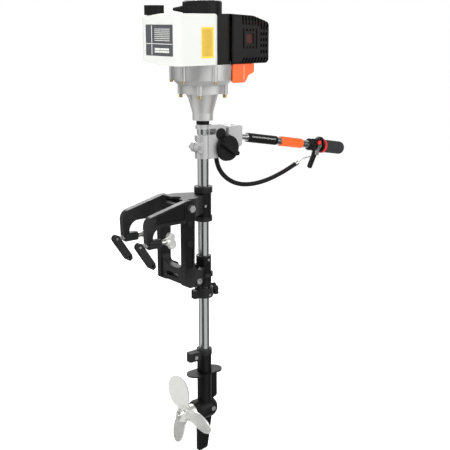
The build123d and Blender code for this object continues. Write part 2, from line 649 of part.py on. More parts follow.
case_out_r = 38
with BuildPart() as crankcase:
    with Locations((leg_x, 0, fan_top_z + seat_gap)):
        Cylinder(fan_r - 1, 2.5, align=base)
        Cylinder(case_out_r, 446 - fan_top_z, align=base)
    # square face for the cylinder
    with BuildSketch(Plane.YZ.offset(leg_x + 20)):
        with Locations((0, crank_z)):
            RectangleRounded(64, 64, 6)
    extrude(amount=22)
    with Locations((leg_x, 0, crank_z)):
        Cylinder(29, 36, mode=Mode.SUBTRACT)
        Cylinder(bore_r + 3, 60, rotation=along_x, align=base, mode=Mode.SUBTRACT)
        Cylinder(10, 200, mode=Mode.SUBTRACT)
    with Locations((leg_x, 0, 364), (leg_x, 0, 427)):
        Cylinder(17.5 + seat_gap, 11, align=base, mode=Mode.SUBTRACT)
    # room for the outlet gap of the fan housing
    with BuildSketch(Plane.XY.offset(fan_top_z)):
        with Locations((leg_x + fan_r, 0)):
            Rectangle(24, 70)
    extrude(amount=5.1, mode=Mode.SUBTRACT)
crankcase.part.label = "crankcase"
export_step(crankcase.part, "parts/crankcase.step")

with BuildPart() as ball_bearings:
    for z, outer, inner, width in ((364, 17.5, 7.5, 11), (427, 17.5, 7.5, 11),
                                   (238, 14, 6, 8), (pinion_seat_z, 11, shaft_r, 9)):
        with Locations((leg_x, 0, z)):
            Cylinder(outer, width, align=base)
            Cylinder(inner + run_gap, width, align=base, mode=Mode.SUBTRACT)
    for x, outer, inner, width in ((case_x0 + 4, 13, 5, 8), (114.2, 11, 4, 7)):
        with Locations((x, 0, prop_z)):
            Cylinder(outer, width, rotation=along_x, align=base)
            Cylinder(inner + run_gap, width, rotation=along_x, align=base, mode=Mode.SUBTRACT)
ball_bearings.part.label = "ball_bearings"
export_step(ball_bearings.part, "parts/ball_bearings.step")

# ================= cylinder and its fittings =================
cyl_x = leg_x + 42 + seat_gap
head_x = 194
with BuildPart() as cylinder:
    with Locations((cyl_x, 0, crank_z)):
        Cylinder(bore_r + 5, head_x - cyl_x, rotation=along_x, align=base)
    with BuildSketch(Plane.YZ.offset(cyl_x)):
        with Locations((0, crank_z)):
            RectangleRounded(62, 62, 6)
    extrude(amount=4)
    for i in range(7):
        with BuildSketch(Plane.YZ.offset(cyl_x + 10 + 6.6 * i)):
            with Locations((0, crank_z)):
                RectangleRounded(66, 72, 8)
        extrude(amount=2.2)
    # exhaust and intake ports
    with Locations((cyl_x + 26, 0, crank_z)):
        Box(22, 2 * 34, 26)
        Cylinder(8, 100, rotation=along_y, mode=Mode.SUBTRACT)
    with Locations((cyl_x, 0, crank_z)):
        Cylinder(bore_r, 44, rotation=along_x, align=base, mode=Mode.SUBTRACT)
    with Locations((cyl_x, 0, crank_z)):
        Cylinder(7 + seat_gap, 80, rotation=along_x, align=base, mode=Mode.SUBTRACT)
cylinder.part.label = "cylinder"
export_step(cylinder.part, "parts/cylinder.step")

with BuildPart() as piston:
    with Locations((cyl_x + 10, 0, crank_z)):
        Cylinder(bore_r - run_gap, 30, rotation=along_x, align=base)
        Cylinder(bore_r - 3, 25, rotation=along_x, align=base, mode=Mode.SUBTRACT)
    with Locations((cyl_x + 20, 0, crank_z)):
        Cylinder(5, 2 * bore_r - 8)
piston.part.label = "piston"
export_step(piston.part, "parts/piston.step")

with BuildPart() as spark_plug:
    with Locations((head_x - 8, 0, crank_z)):
        Cylinder(7, 8.2, rotation=along_x, align=base)
    with BuildSketch(Plane.YZ.offset(head_x + 0.1)):
        with Locations((0, crank_z)):
            RegularPolygon(9.5, 6)
    extrude(amount=9)
    with Locations((head_x + 9, 0, crank_z)):
        Cylinder(5, 10, rotation=along_x, align=base)
    with Locations((head_x + 17, 0, crank_z)):
        Cylinder(8, 20, rotation=along_x, align=base)
spark_plug.part.label = "spark_plug"
export_step(spark_plug.part, "parts/spark_plug.step")

with BuildPart() as muffler:
    with BuildSketch(Plane.XZ.offset(36)):
        with Locations((173, crank_z)):
            RectangleRounded(62, 78, 12)
    extrude(amount=28)
    with BuildSketch(Plane.XZ.offset(39)):
        with Locations((173, crank_z)):
            RectangleRounded(56, 72, 9)
    extrude(amount=22, mode=Mode.SUBTRACT)
    with Locations((cyl_x + 26, -36, crank_z)):
        Box(22, 4, 26)
        Cylinder(8, 12, rotation=along_y, mode=Mode.SUBTRACT)
muffler.part.label = "muffler"
export_step(muffler.part, "parts/muffler.step")

choke_x, choke_z = cyl_x + 2, crank_z - 6
with BuildPart() as carburettor:
    with Locations((cyl_x + 26, 34.2, crank_z)):
        Cylinder(12, 8, rotation=(-90, 0, 0), align=base)
    with Locations((cyl_x + 26, 54.2, crank_z)):
        Box(38, 26, 34)
    with Locations((cyl_x + 26, 54.2, crank_z - 26)):
        Cylinder(11, 20)
    with Locations((cyl_x + 26, 50, crank_z)):
        Cylinder(8, 200, rotation=along_y, mode=Mode.SUBTRACT)
    # boss for the choke lever's pin
    with Locations((choke_x + 4, 56, choke_z)):
        Box(18, 10.8, 10)
    with Locations((choke_x, 60, choke_z)):
        Cylinder(2 + run_gap, 10, rotation=along_y, mode=Mode.SUBTRACT)
carburettor.part.label = "carburettor"
export_step(carburettor.part, "parts/carburettor.step")

with BuildPart() as air_filter_cover:
    with BuildSketch(Plane.XZ.offset(-67.4)):
        with Locations((cyl_x + 28, crank_z)):
            RectangleRounded(74, 84, 12)
    extrude(amount=-22, taper=8)
    with BuildSketch(Plane.XZ.offset(-67.4)):
        with Locations((cyl_x + 28, crank_z)):
            RectangleRounded(69, 79, 9.5)
    extrude(amount=-19, taper=8, mode=Mode.SUBTRACT)
    with Locations((cyl_x + 28, 89.6, crank_z)):
        Cylinder(7, 4, rotation=along_y)
air_filter_cover.part.label = "air_filter_cover"
export_step(air_filter_cover.part, "parts/air_filter_cover.step")

with BuildPart() as choke_lever:
    with Locations((choke_x, 60, choke_z)):
        Cylinder(2, 8, rotation=along_y)
    with BuildSketch(Plane.XZ.offset(-64)):
        with Locations((choke_x, choke_z)):
            Circle(4.5)
            Rectangle(30, 7, align=(Align.MAX, Align.CENTER))
        with Locations((choke_x - 30, choke_z)):
            Circle(5.5)
    extrude(amount=2, both=True)
choke_lever.part.label = "choke_lever"
export_step(choke_lever.part, "parts/choke_lever.step")

# ================= covers =================
cover_top_z, cover_end_z = 455, 437      # top edge, near the engine and at the far end
wall = 2.5
with BuildPart() as cylinder_cover:
    with BuildSketch(Plane.XZ.offset(-cover_y1)):
        with BuildLine():
            FilletPolyline((cover_x0, cover_low_z), (cover_x1, cover_low_z), (cover_x1, cover_end_z),
                           (cover_x1 - 45, cover_top_z - 4), (cover_x0, cover_top_z),
                           radius=[1, 10, 12, 30, 1], close=True)
        make_face()
    extrude(amount=cover_y1 - cover_y0)
    fillet(cylinder_cover.edges().group_by(Axis.Y)[0].filter_by(
        lambda e: e.center().X > cover_x0 + 2), radius=6)
    with BuildSketch(Plane.XZ.offset(-cover_y1 + wall)):
        with BuildLine():
            FilletPolyline((cover_x0 - 5, cover_low_z + wall), (cover_x1 - wall, cover_low_z + wall),
                           (cover_x1 - wall, cover_end_z - wall), (cover_x1 - 46, cover_top_z - 4 - wall),
                           (cover_x0 - 5, cover_top_z - wall), radius=[1, 8, 10, 28, 1], close=True)
        make_face()
    extrude(amount=cover_y1 - cover_y0 - 2 * wall, mode=Mode.SUBTRACT)
    # open towards the carburettor, and open below towards the cowl
    with Locations((cyl_x + 26, cover_y1, crank_z)):
        Box(50, 12, 56, mode=Mode.SUBTRACT)
    with Locations((cover_x0 + 32, 0, cover_low_z)):
        Box(66, 64, 12, mode=Mode.SUBTRACT)
    # nine slots along the top edge and nine along the bottom edge
    for i in range(9):
        with Locations((cover_x0 + 30 + 9 * i, cover_y0, cover_top_z - 12 - 0.8 * i)):
            Box(5, 14, 22, mode=Mode.SUBTRACT)
        with Locations((cover_x0 + 30 + 9 * i, cover_y0, cover_low_z + 6)):
            Box(4.5, 14, 17, rotation=(0, 28, 0), mode=Mode.SUBTRACT)
    # louvres about the middle of the face
    with BuildSketch(Plane.XZ.offset(-cover_y0)):
        with Locations((cover_x0 + 32, crank_z), (cover_x0 + 70, crank_z)):
            RectangleRounded(4, 44, 1)
        with Locations((cover_x0 + 51, crank_z)):
            RectangleRounded(22, 22, 1)
            with GridLocations(9, 38, 3, 2):
                RectangleRounded(5, 5, 1)
    extrude(amount=6, both=True, mode=Mode.SUBTRACT)
    # rows of small windows through both sides of the far end
    with BuildSketch(Plane.XZ):
        with Locations((cover_x1 - 18, crank_z - 3)):
            with GridLocations(7.5, 13, 3, 5):
                RectangleRounded(4.6, 7.5, 1)
    extrude(amount=120, both=True, mode=Mode.SUBTRACT)
cylinder_cover.part.label = "cylinder_cover"
export_step(cylinder_cover.part, "parts/cylinder_cover.step")

shroud_y = 60
with BuildPart() as engine_shroud:
    with BuildSketch(Plane.XY.offset(fan_top_z + 2.9)):
        with Locations((tank_x1 + 2, 0)):
            Rectangle(cover_x0 - tank_x1 - 2.4, 2 * shroud_y, align=(Align.MIN, Align.CENTER))
        with Locations((leg_x - case_out_r - 5, 0)):
            RectangleRounded(70, 88, 6, align=(Align.MIN, Align.CENTER))
    extrude(amount=tank_top_z - fan_top_z - 2.9)
    with BuildSketch(Plane.XY.offset(fan_top_z + 2.9)):
        with Locations((tank_x1 + 2 + wall, 0)):
            Rectangle(cover_x0 - tank_x1, 2 * shroud_y - 2 * wall, align=(Align.MIN, Align.CENTER))
        with Locations((leg_x - case_out_r - 5 + wall, 0)):
            RectangleRounded(72, 88 - 2 * wall, 4, align=(Align.MIN, Align.CENTER))
    extrude(amount=tank_top_z - fan_top_z - 2.9 - wall, mode=Mode.SUBTRACT)
    with Locations((leg_x, 0, tank_top_z)):
        Cylinder(24, 20, mode=Mode.SUBTRACT)
engine_shroud.part.label = "engine_shroud"
export_step(engine_shroud.part, "parts/engine_shroud.step")

cowl_x1, cowl_step_x = 196, 176
with BuildPart() as lower_cowl:
    with BuildSketch(Plane.XZ.offset(-62)):
        with BuildLine():
            FilletPolyline((leg_x + 38, fan_low_z + 4), (cowl_step_x - 6, fan_low_z + 4),
                           (cowl_step_x + 4, 320), (cowl_x1, 326), (cowl_x1, cover_low_z - 0.4),
                           (leg_x + 38, cover_low_z - 0.4), radius=[2, 10, 4, 4, 1, 1], close=True)
        make_face()
    extrude(amount=124)
    with BuildSketch(Plane.XZ.offset(-62 + wall)):
        with BuildLine():
            FilletPolyline((leg_x + 30, fan_low_z + 4 + wall), (cowl_step_x - 7, fan_low_z + 4 + wall),
                           (cowl_step_x + 2, 320 + wall), (cowl_x1 - wall, 326 + wall),
                           (cowl_x1 - wall, 360), (leg_x + 30, 360),
                           radius=[1, 8, 3, 3, 1, 1], close=True)
        make_face()
    extrude(amount=124 - 2 * wall, mode=Mode.SUBTRACT)
    with Locations((leg_x, 0, fan_low_z)):
        Cylinder(fan_r + 0.6, 200, mode=Mode.SUBTRACT)
        with PolarLocations(fan_r, 6, start_angle=15):
            Cylinder(6.5, 200, mode=Mode.SUBTRACT)
lower_cowl.part.label = "lower_cowl"
export_step(lower_cowl.part, "parts/lower_cowl.step")

with BuildPart() as starter_housing:
    with BuildSketch(Plane.XZ):
        with BuildLine():
            Polyline((leg_x, starter_top_z + 8), (leg_x + 14, starter_top_z + 6),
                     (leg_x + 28, starter_top_z + 1), (leg_x + starter_r - 3, starter_top_z),
                     (leg_x + starter_r, starter_top_z - 3), (leg_x + starter_r, starter_low_z),
                     (leg_x + starter_r - wall, starter_low_z),
                     (leg_x + starter_r - wall, starter_top_z - 4), (leg_x + 28, starter_top_z - 3),
                     (leg_x, starter_top_z + 3), (leg_x, starter_top_z + 8))
        make_face()
    revolve(axis=Axis((leg_x, 0, 0), (0, 0, 1)))
    with Locations(Location((leg_x, 0, 465), (0, 0, handle_angle))):
        with Locations((starter_r, 0, 0)):
            Box(8, 14, 14)
            Cylinder(2.5, 40, rotation=along_x, mode=Mode.SUBTRACT)
starter_housing.part.label = "starter_housing"
export_step(starter_housing.part, "parts/starter_housing.step")

handle_out = starter_r + 4.4
with BuildPart() as starter_handle:
    with Locations(Location((leg_x, 0, 465), (0, 0, handle_angle))):
        with Locations((handle_out, 0, 0)):
            Cone(6.5, 4, 14, rotation=along_x, align=base)
        with Locations((handle_out + 14, 0, 0)):
            Sphere(4)
starter_handle.part.label = "starter_handle"
export_step(starter_handle.part, "parts/starter_handle.step")

# ================= fuel tank =================
tank_wall = 2.2
neck_r_out = 16
with BuildPart() as fuel_tank:
    for inset, op in ((0, Mode.ADD), (tank_wall, Mode.SUBTRACT)):
        with BuildPart(mode=Mode.PRIVATE) as tank_form:
            with BuildSketch(Plane.YZ.offset(tank_x0 + inset)):
                Polygon((-tank_y + inset, tank_low_z + inset), (0, tank_low_z + inset),
                        (tank_y - inset, tank_low_z + 8 + inset), (tank_y - inset, tank_top_z - 9 - inset),
                        (0, tank_top_z - inset), (-tank_y + inset, tank_top_z - inset), align=None)
            extrude(amount=tank_x1 - tank_x0 - 2 * inset)
            fillet(tank_form.edges().filter_by(Axis.Z), radius=14 - inset)
            fillet(tank_form.faces().sort_by(Axis.Z)[-1].edges(), radius=6 - inset / 2)
            with BuildSketch(Plane.XY.offset(tank_low_z - 20)):
                with Locations((leg_x - case_out_r - 8 - inset, 0)):
                    RectangleRounded(120, 94 + 2 * inset, 10 + inset, align=(Align.MIN, Align.CENTER))
            extrude(amount=200, mode=Mode.SUBTRACT)
        add(tank_form.part, mode=op)
    with Locations((cap_x, cap_y, tank_top_z - 12)):
        Cylinder(neck_r_out, 20, align=base)
    with Locations((cap_x, cap_y, tank_top_z - 20)):
        Cylinder(neck_r_out - 2.5, 60, align=base, mode=Mode.SUBTRACT)
fuel_tank.part.label = "fuel_tank"
export_step(fuel_tank.part, "parts/fuel_tank.step")

cap_low_z, cap_top_z = tank_top_z - 3, 473
with BuildPart() as fuel_cap:
    with BuildSketch(Plane.XY.offset(cap_low_z)):
        with Locations((cap_x, cap_y)):
            Circle(20.5)
            with PolarLocations(20.5, 24):
                Circle(1.3)
    extrude(amount=cap_top_z - cap_low_z)
    with Locations((cap_x, cap_y, cap_low_z)):
        Cylinder(neck_r_out + run_gap, 13, align=base, mode=Mode.SUBTRACT)
fuel_cap.part.label = "fuel_cap"
export_step(fuel_cap.part, "parts/fuel_cap.step")

# ================= tiller bracket =================
clamp_r = tube_r + 6
lug_half = 12
with BuildPart() as tiller_bracket:
    with Locations((leg_x, 0, bracket_low_z)):
        Cylinder(clamp_r, 54, align=base)
    with Locations((leg_x, 0, bracket_top_z - 10)):
        Cylinder(clamp_r - 2, 10, align=base)
    # body between the rings and the fold lug, with a window beside the tube
    with BuildSketch(Plane.XZ):
        with BuildLine():
            FilletPolyline((leg_x, bracket_low_z), (fold_x - 8, bracket_low_z), (fold_x - 18, fold_z),
                           (fold_x - 18, fold_z + 14), (fold_x, fold_z + 17.5), (fold_x, bracket_top_z - 4),
                           (leg_x + 30, bracket_top_z), (leg_x, bracket_top_z),
                           radius=[1, 5, 10, 6, 1, 4, 8, 1], close=True)
        make_face()
        with BuildLine():
            FilletPolyline((leg_x + 2, 186), (leg_x + 24, 186), (leg_x + 24, 200), (leg_x + 2, 200),
                           radius=[1, 6, 6, 1], close=True)
        make_face(mode=Mode.SUBTRACT)
    extrude(amount=22, both=True)
    with Locations((leg_x, 0, 186)):
        Cylinder(clamp_r + 3, 13, align=base, mode=Mode.SUBTRACT)
    # fold lug
    with BuildSketch(Plane.XZ):
        with Locations((fold_x, fold_z)):
            Circle(16)
        with Locations((fold_x, fold_z - 1)):
            Rectangle(30, 30, align=(Align.MAX, Align.CENTER))
    extrude(amount=lug_half, both=True)
    # the tiller's cheeks turn in this space
    for side in (-1, 1):
        with Locations((fold_x, side * (lug_half + 0.4 + 10), fold_z)):
            Cylinder(17, 20, rotation=along_y, mode=Mode.SUBTRACT)
    # side boss with the clamp bolt, on the far side of the tube
    with Locations((leg_x - 14, 0, 158)):
        Cylinder(13, 30, rotation=along_y)
    # plug hole, tube bore, bolt bores and slits
    with Locations((131, 0, 186)):
        Cylinder(12, 80, rotation=along_y, mode=Mode.SUBTRACT)
    with Locations((leg_x, 0, bracket_low_z)):
        Cylinder(tube_r + seat_gap, 300, mode=Mode.SUBTRACT)
    with Locations((fold_x, 0, fold_z)):
        Cylinder(fold_r + run_gap, 80, rotation=along_y, mode=Mode.SUBTRACT)
    with Locations((leg_x - 21.5, 0, 158)):
        Cylinder(3 + seat_gap, 80, rotation=along_y, mode=Mode.SUBTRACT)
    with Locations((leg_x - 20, 0, 158)):
        Box(30, 2, 90, mode=Mode.SUBTRACT)
    with Locations((131, -22, 160)):
        Box(1.2, 2, 34, mode=Mode.SUBTRACT)
    # gland for the control conduit
    with Locations((134, 0, bracket_low_z - 1)):
        Cylinder(8, 6, align=base)
        Cylinder(6.4, 14, align=base, mode=Mode.SUBTRACT)
tiller_bracket.part.label = "tiller_bracket"
export_step(tiller_bracket.part, "parts/tiller_bracket.step")

with BuildPart() as bracket_plug:
    with Locations((131, 0, 186)):
        Cylinder(12 - seat_gap, 44, rotation=along_y)
    for side in (-1, 1):
        with Locations((131, side * 23.2, 186)):
            Cylinder(13.5, 2.2, rotation=along_y)
bracket_plug.part.label = "bracket_plug"
export_step(bracket_plug.part, "parts/bracket_plug.step")

with BuildPart() as leg_bolts:
    # clamp bolt of the tiller bracket and of the gear case neck
    with Locations((leg_x - 21.5, 0, 158)):
        Cylinder(3, 38, rotation=along_y)
    with Locations((leg_x - 21.5, -17.4, 158), (leg_x - 21.5, 17.4, 158)):
        Cylinder(5, 4.6, rotation=along_y)
    with Locations((leg_x - 34, 0, neck_top_z - 13)):
        Cylinder(3, 30, rotation=along_y)
    with Locations((leg_x - 34, -12.4, neck_top_z - 13), (leg_x - 34, 12.4, neck_top_z - 13)):
        Cylinder(5, 4.6, rotation=along_y)
    # oil plugs of the gear case
    with Locations((104, -case_r + 1, prop_z + 4)):
        Cylinder(6, 4, rotation=along_y)
leg_bolts.part.label = "leg_bolts"
export_step(leg_bolts.part, "parts/leg_bolts.step")

# ================= tiller =================
cheek_in = lug_half + 0.4
head_x0, head_x1 = fold_x + 9, fold_x + 50
with BuildPart() as tiller_head:
    with BuildSketch(Plane.XZ):
        with Locations((fold_x, fold_z)):
            Circle(15.5)
        with BuildLine():
            FilletPolyline((fold_x + 2, fold_z - 15), (head_x1, fold_z + 2), (head_x1, 201),
                           (head_x0, 203), (head_x0, fold_z + 6), radius=[1, 8, 5, 5, 1], close=True)
        make_face()
    extrude(amount=22, both=True)
    # slot for the bracket's lug
    with BuildSketch(Plane.XZ):
        with Locations((fold_x, fold_z)):
            Circle(17)
        with Locations((fold_x + 4, fold_z - 20)):
            Rectangle(34, 20, align=(Align.MAX, Align.MIN))
    extrude(amount=cheek_in, both=True, mode=Mode.SUBTRACT)
    with Locations((fold_x, 0, fold_z)):
        Cylinder(fold_r + run_gap, 80, rotation=along_y, mode=Mode.SUBTRACT)
    # bore for the rod, clamp slit and bolt pockets
    with BuildSketch(tiller_plane.offset(-60)):
        Circle(6.5 + seat_gap)
    extrude(amount=80, mode=Mode.SUBTRACT)
    with Locations((fold_x + 20, 0, 206), (fold_x + 37, 0, 206)):
        Cylinder(5, 20, mode=Mode.SUBTRACT)
tiller_head.part.label = "tiller_head"
export_step(tiller_head.part, "parts/tiller_head.step")

with BuildPart() as tiller_tube:
    with BuildSketch(tiller_plane.offset(-48)):
        Circle(6.5)
    extrude(amount=72)
    with BuildSketch(tiller_plane):
        Circle(tiller_r)
    extrude(amount=tiller_len)
    with BuildSketch(tiller_plane.offset(24)):
        Circle(tiller_r - 1.5)
    extrude(amount=tiller_len, mode=Mode.SUBTRACT)
tiller_tube.part.label = "tiller_tube"
export_step(tiller_tube.part, "parts/tiller_tube.step")

with BuildPart() as tiller_knob:
    with BuildSketch(Plane.XZ.offset(26)):
        with Locations((fold_x, fold_z)):
            Circle(31)
    extrude(amount=8, taper=12)
    with BuildSketch(Plane.XZ.offset(33)):
        with Locations((fold_x, fold_z)):
            SlotOverall(56, 14, rotation=-35)
    extrude(amount=13, taper=8)
    with Locations((fold_x, 1.5, fold_z)):
        Cylinder(fold_r, 57, rotation=along_y)
    with Locations((fold_x, -24.3, fold_z)):
        Cylinder(9, 4, rotation=along_y)
    with BuildSketch(Plane.XZ.offset(-22.4)):
        with Locations((fold_x, fold_z)):
            RegularPolygon(9, 6)
    extrude(amount=-7)
tiller_knob.part.label = "tiller_knob"
export_step(tiller_knob.part, "parts/tiller_knob.step")

with BuildPart() as grip:
    with BuildSketch(tiller_plane.offset(grip_start)):
        Circle(grip_r)
    extrude(amount=grip_end - grip_start)
    fillet(grip.faces().sort_by(Axis.X)[-1].edges(), radius=6)
    with BuildSketch(tiller_plane.offset(grip_start - 1)):
        Circle(tiller_r + seat_gap)
    extrude(amount=tiller_len - grip_start + 1.2, mode=Mode.SUBTRACT)
grip.part.label = "grip"
export_step(grip.part, "parts/grip.step")

with BuildPart() as grip_flange:
    with BuildSketch(tiller_plane.offset(grip_start - 7)):
        Circle(18.5)
        Circle(tiller_r + seat_gap, mode=Mode.SUBTRACT)
    extrude(amount=6.8)
grip_flange.part.label = "grip_flange"
export_step(grip_flange.part, "parts/grip_flange.step")

# switch housing: a split ring round the tube with a raised guard about the stop button
switch_s = 212
with BuildPart() as switch_housing:
    with BuildSketch(tiller_plane.offset(switch_s)):
        Circle(15)
        with Locations((-16, 8)):
            RectangleRounded(16, 16, 4)
        Circle(tiller_r + seat_gap, mode=Mode.SUBTRACT)
    extrude(amount=22)
    # guard loop
    with BuildSketch(Plane(origin=on_tiller(switch_s + 16, 8, -21), x_dir=tiller_dir,
                           z_dir=(0, -1, 0))):
        Circle(15)
        Circle(11, mode=Mode.SUBTRACT)
        with Locations((0, -11)):
            Rectangle(40, 15, mode=Mode.SUBTRACT)
    extrude(amount=4, both=True)
    with BuildSketch(Plane(origin=on_tiller(switch_s + 11, 8, -18), x_dir=tiller_dir,
                           z_dir=(0, -1, 0))):
        Circle(4 + run_gap)
    extrude(amount=12, mode=Mode.SUBTRACT)
switch_housing.part.label = "switch_housing"
export_step(switch_housing.part, "parts/switch_housing.step")

with BuildPart() as stop_button:
    with BuildSketch(Plane(origin=on_tiller(switch_s + 11, 8, -20.2), x_dir=tiller_dir,
                           z_dir=(0, -1, 0))):
        Circle(4)
    extrude(amount=4)
    with BuildSketch(Plane(origin=on_tiller(switch_s + 11, 8, -26), x_dir=tiller_dir,
                           z_dir=(0, -1, 0))):
        Circle(5.2)
    extrude(amount=3.2)
    with BuildSketch(Plane(origin=on_tiller(switch_s + 11, 8, -24), x_dir=tiller_dir,
                           z_dir=(0, -1, 0))):
        Circle(4)
    extrude(amount=2.4)
stop_button.part.label = "stop_button"
export_step(stop_button.part, "parts/stop_button.step")

lever_at = on_tiller(lever_s, -lever_drop)
with BuildPart() as lever_bracket:
    # saddle round the tube and two cheeks that carry the lever's pin
    with BuildSketch(tiller_plane.offset(lever_s - 5)):
        Circle(13.5)
        with Locations((0, -15)):
            Rectangle(15, 20)
        Circle(tiller_r + seat_gap, mode=Mode.SUBTRACT)
        with Locations((0, -19)):
            Rectangle(8.6, 16, mode=Mode.SUBTRACT)
    extrude(amount=12)
    with Locations(lever_at):
        Cylinder(2, 18, rotation=along_y)
lever_bracket.part.label = "lever_bracket"
export_step(lever_bracket.part, "parts/lever_bracket.step")

lever_swing = radians(26)        # lean of the lever towards the bracket
lever_down = Vector(-sin(lever_swing), 0, -cos(lever_swing))
lever_plane = Plane(origin=lever_at, x_dir=lever_down, z_dir=(0, -1, 0))
throttle_len = 42
with BuildPart() as throttle_lever:
    with BuildSketch(lever_plane):
        Circle(6)
        with BuildLine():
            FilletPolyline((0, -6), (throttle_len, -7), (throttle_len + 4, 4), (0, 6),
                           radius=[1, 5, 4, 1], close=True)
        make_face()
        with Locations((26, -0.5)):
            Circle(3, mode=Mode.SUBTRACT)
        Circle(2 + run_gap, mode=Mode.SUBTRACT)
    extrude(amount=3.8, both=True)
throttle_lever.part.label = "throttle_lever"
export_step(throttle_lever.part, "parts/throttle_lever.step")

# ================= control conduit and throttle cable =================
conduit_r = 5.5
cable_r = 1.3


def cord_radii(points):
    """One radius for each corner: 0.45 of the shorter run over the tangent of half the turn."""
    radii = []
    for before, here, after in zip(points, points[1:], points[2:]):
        run_in = Vector(*here) - Vector(*before)
        run_out = Vector(*after) - Vector(*here)
        half_turn = radians(run_in.get_angle(run_out)) / 2
        radii.append(0.45 * min(run_in.length, run_out.length) / tan(half_turn))
    return radii


conduit_points = [(134, 0, 132), (136, -1, 114), (147, -2, 92), (170, -2, 71), (204, -1, 56),
                  (246, 0, 51), (292, 0, 55), (336, 0, 66), (374, 0, 79), (398, 0, 89)]
cable_points = [(400, 0, 90), (412, 0, 95.5), (428, 0, 99), (446, 0, 100)]
for points, radius, name in ((conduit_points, conduit_r, "control_conduit"),
                             (cable_points, cable_r, "throttle_cable")):
    radii = cord_radii(points)
    with BuildPart() as cord:
        with BuildLine() as path:
            FilletPolyline(*points, radius=radii)
        with BuildSketch(Plane(origin=points[0], z_dir=path.line % 0)):
            Circle(radius)
        sweep()
    run = path.wire().length
    ratio = cord.part.volume / (pi * radius ** 2 * run)
    print(name, "radii", [round(r, 1) for r in radii], "length", round(run, 1), "volume", round(ratio, 4))
    cord.part.label = name
    export_step(cord.part, "parts/" + name + ".step")
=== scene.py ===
import math
import random

import bpy
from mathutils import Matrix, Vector


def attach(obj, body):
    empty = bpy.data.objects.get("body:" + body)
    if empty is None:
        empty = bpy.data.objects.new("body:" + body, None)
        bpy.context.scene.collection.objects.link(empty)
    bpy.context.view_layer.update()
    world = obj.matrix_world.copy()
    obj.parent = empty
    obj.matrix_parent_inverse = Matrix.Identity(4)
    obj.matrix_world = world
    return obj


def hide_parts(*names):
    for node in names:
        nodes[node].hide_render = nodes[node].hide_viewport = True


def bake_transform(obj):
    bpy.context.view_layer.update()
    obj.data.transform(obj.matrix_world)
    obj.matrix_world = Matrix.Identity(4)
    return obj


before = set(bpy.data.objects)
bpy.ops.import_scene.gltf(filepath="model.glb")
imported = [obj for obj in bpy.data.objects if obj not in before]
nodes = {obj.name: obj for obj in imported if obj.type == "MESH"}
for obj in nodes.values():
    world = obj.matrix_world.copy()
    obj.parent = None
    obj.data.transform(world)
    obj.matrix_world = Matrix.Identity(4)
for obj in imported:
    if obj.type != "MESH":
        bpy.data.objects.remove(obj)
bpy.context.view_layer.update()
print("frame loaded with", len(nodes), "nodes")

# ---- camera ----
cameraSettings = {
    "place": (-1.091, -1.547, 0.443),  # metres
    "heading": (0.629, 0.777),         # level direction it looks along
    "tiltDown": 13.6,                  # degrees
    "lens": 68,
}


def makeCamera(settings):
    data = bpy.data.cameras.new("camera")
    data.lens = settings["lens"]
    data.sensor_width = 36
    data.clip_start = 0.05
    data.clip_end = 20
    camera = bpy.data.objects.new("camera", data)
    camera.location = settings["place"]
    tilt = math.radians(settings["tiltDown"])
    hx, hy = settings["heading"]
    look = Vector((hx * math.cos(tilt), hy * math.cos(tilt), -math.sin(tilt)))
    camera.rotation_mode = "QUATERNION"
    camera.rotation_quaternion = look.to_track_quat("-Z", "Y")
    bpy.context.collection.objects.link(camera)
    bpy.context.scene.camera = camera
    return camera


makeCamera(cameraSettings)
print("camera placed")

# ---- shared effects ----


def newGroup(name, inputs, outputs):
    group = bpy.data.node_groups.new(name, "ShaderNodeTree")
    for socketName, kind, value in inputs:
        socket = group.interface.new_socket(socketName, in_out="INPUT", socket_type=kind)
        socket.default_value = value
    for socketName, kind in outputs:
        group.interface.new_socket(socketName, in_out="OUTPUT", socket_type=kind)
    return group, group.nodes.new("NodeGroupInput"), group.nodes.new("NodeGroupOutput")


def makeGrain():  # fine uneven surface of a casting or a moulding
    group, source, result = newGroup(
        "surfaceGrain",
        [("Scale", "NodeSocketFloat", 400.0), ("Patches", "NodeSocketFloat", 20.0)],
        [("Fine", "NodeSocketFloat"), ("Broad", "NodeSocketFloat")])
    nodesIn, links = group.nodes, group.links
    coordinates = nodesIn.new("ShaderNodeTexCoord")
    for name, socketName, detail in (("Fine", "Scale", 4.0), ("Broad", "Patches", 6.0)):
        noise = nodesIn.new("ShaderNodeTexNoise")
        noise.inputs["Detail"].default_value = detail
        links.new(coordinates.outputs["Object"], noise.inputs["Vector"])
        links.new(source.outputs[socketName], noise.inputs["Scale"])
        links.new(noise.outputs["Fac"], result.inputs[name])
    return group


def makeWear():  # paler edges and corners where hands and tools rub
    group, source, result = newGroup(
        "edgeWear",
        [("Amount", "NodeSocketFloat", 0.3), ("Noise", "NodeSocketFloat", 0.5)],
        [("Mask", "NodeSocketFloat")])
    nodesIn, links = group.nodes, group.links
    geometry = nodesIn.new("ShaderNodeNewGeometry")
    ramp = nodesIn.new("ShaderNodeMapRange")
    ramp.inputs["From Min"].default_value = 0.52
    ramp.inputs["From Max"].default_value = 0.62
    links.new(geometry.outputs["Pointiness"], ramp.inputs["Value"])
    scaled = nodesIn.new("ShaderNodeMath")
    scaled.operation = "MULTIPLY"
    links.new(ramp.outputs["Result"], scaled.inputs[0])
    links.new(source.outputs["Amount"], scaled.inputs[1])
    broken = nodesIn.new("ShaderNodeMath")
    broken.operation = "MULTIPLY"
    broken.use_clamp = True
    links.new(scaled.outputs["Value"], broken.inputs[0])
    links.new(source.outputs["Noise"], broken.inputs[1])
    links.new(broken.outputs["Value"], result.inputs["Mask"])
    return group


grainGroup = makeGrain()
wearGroup = makeWear()

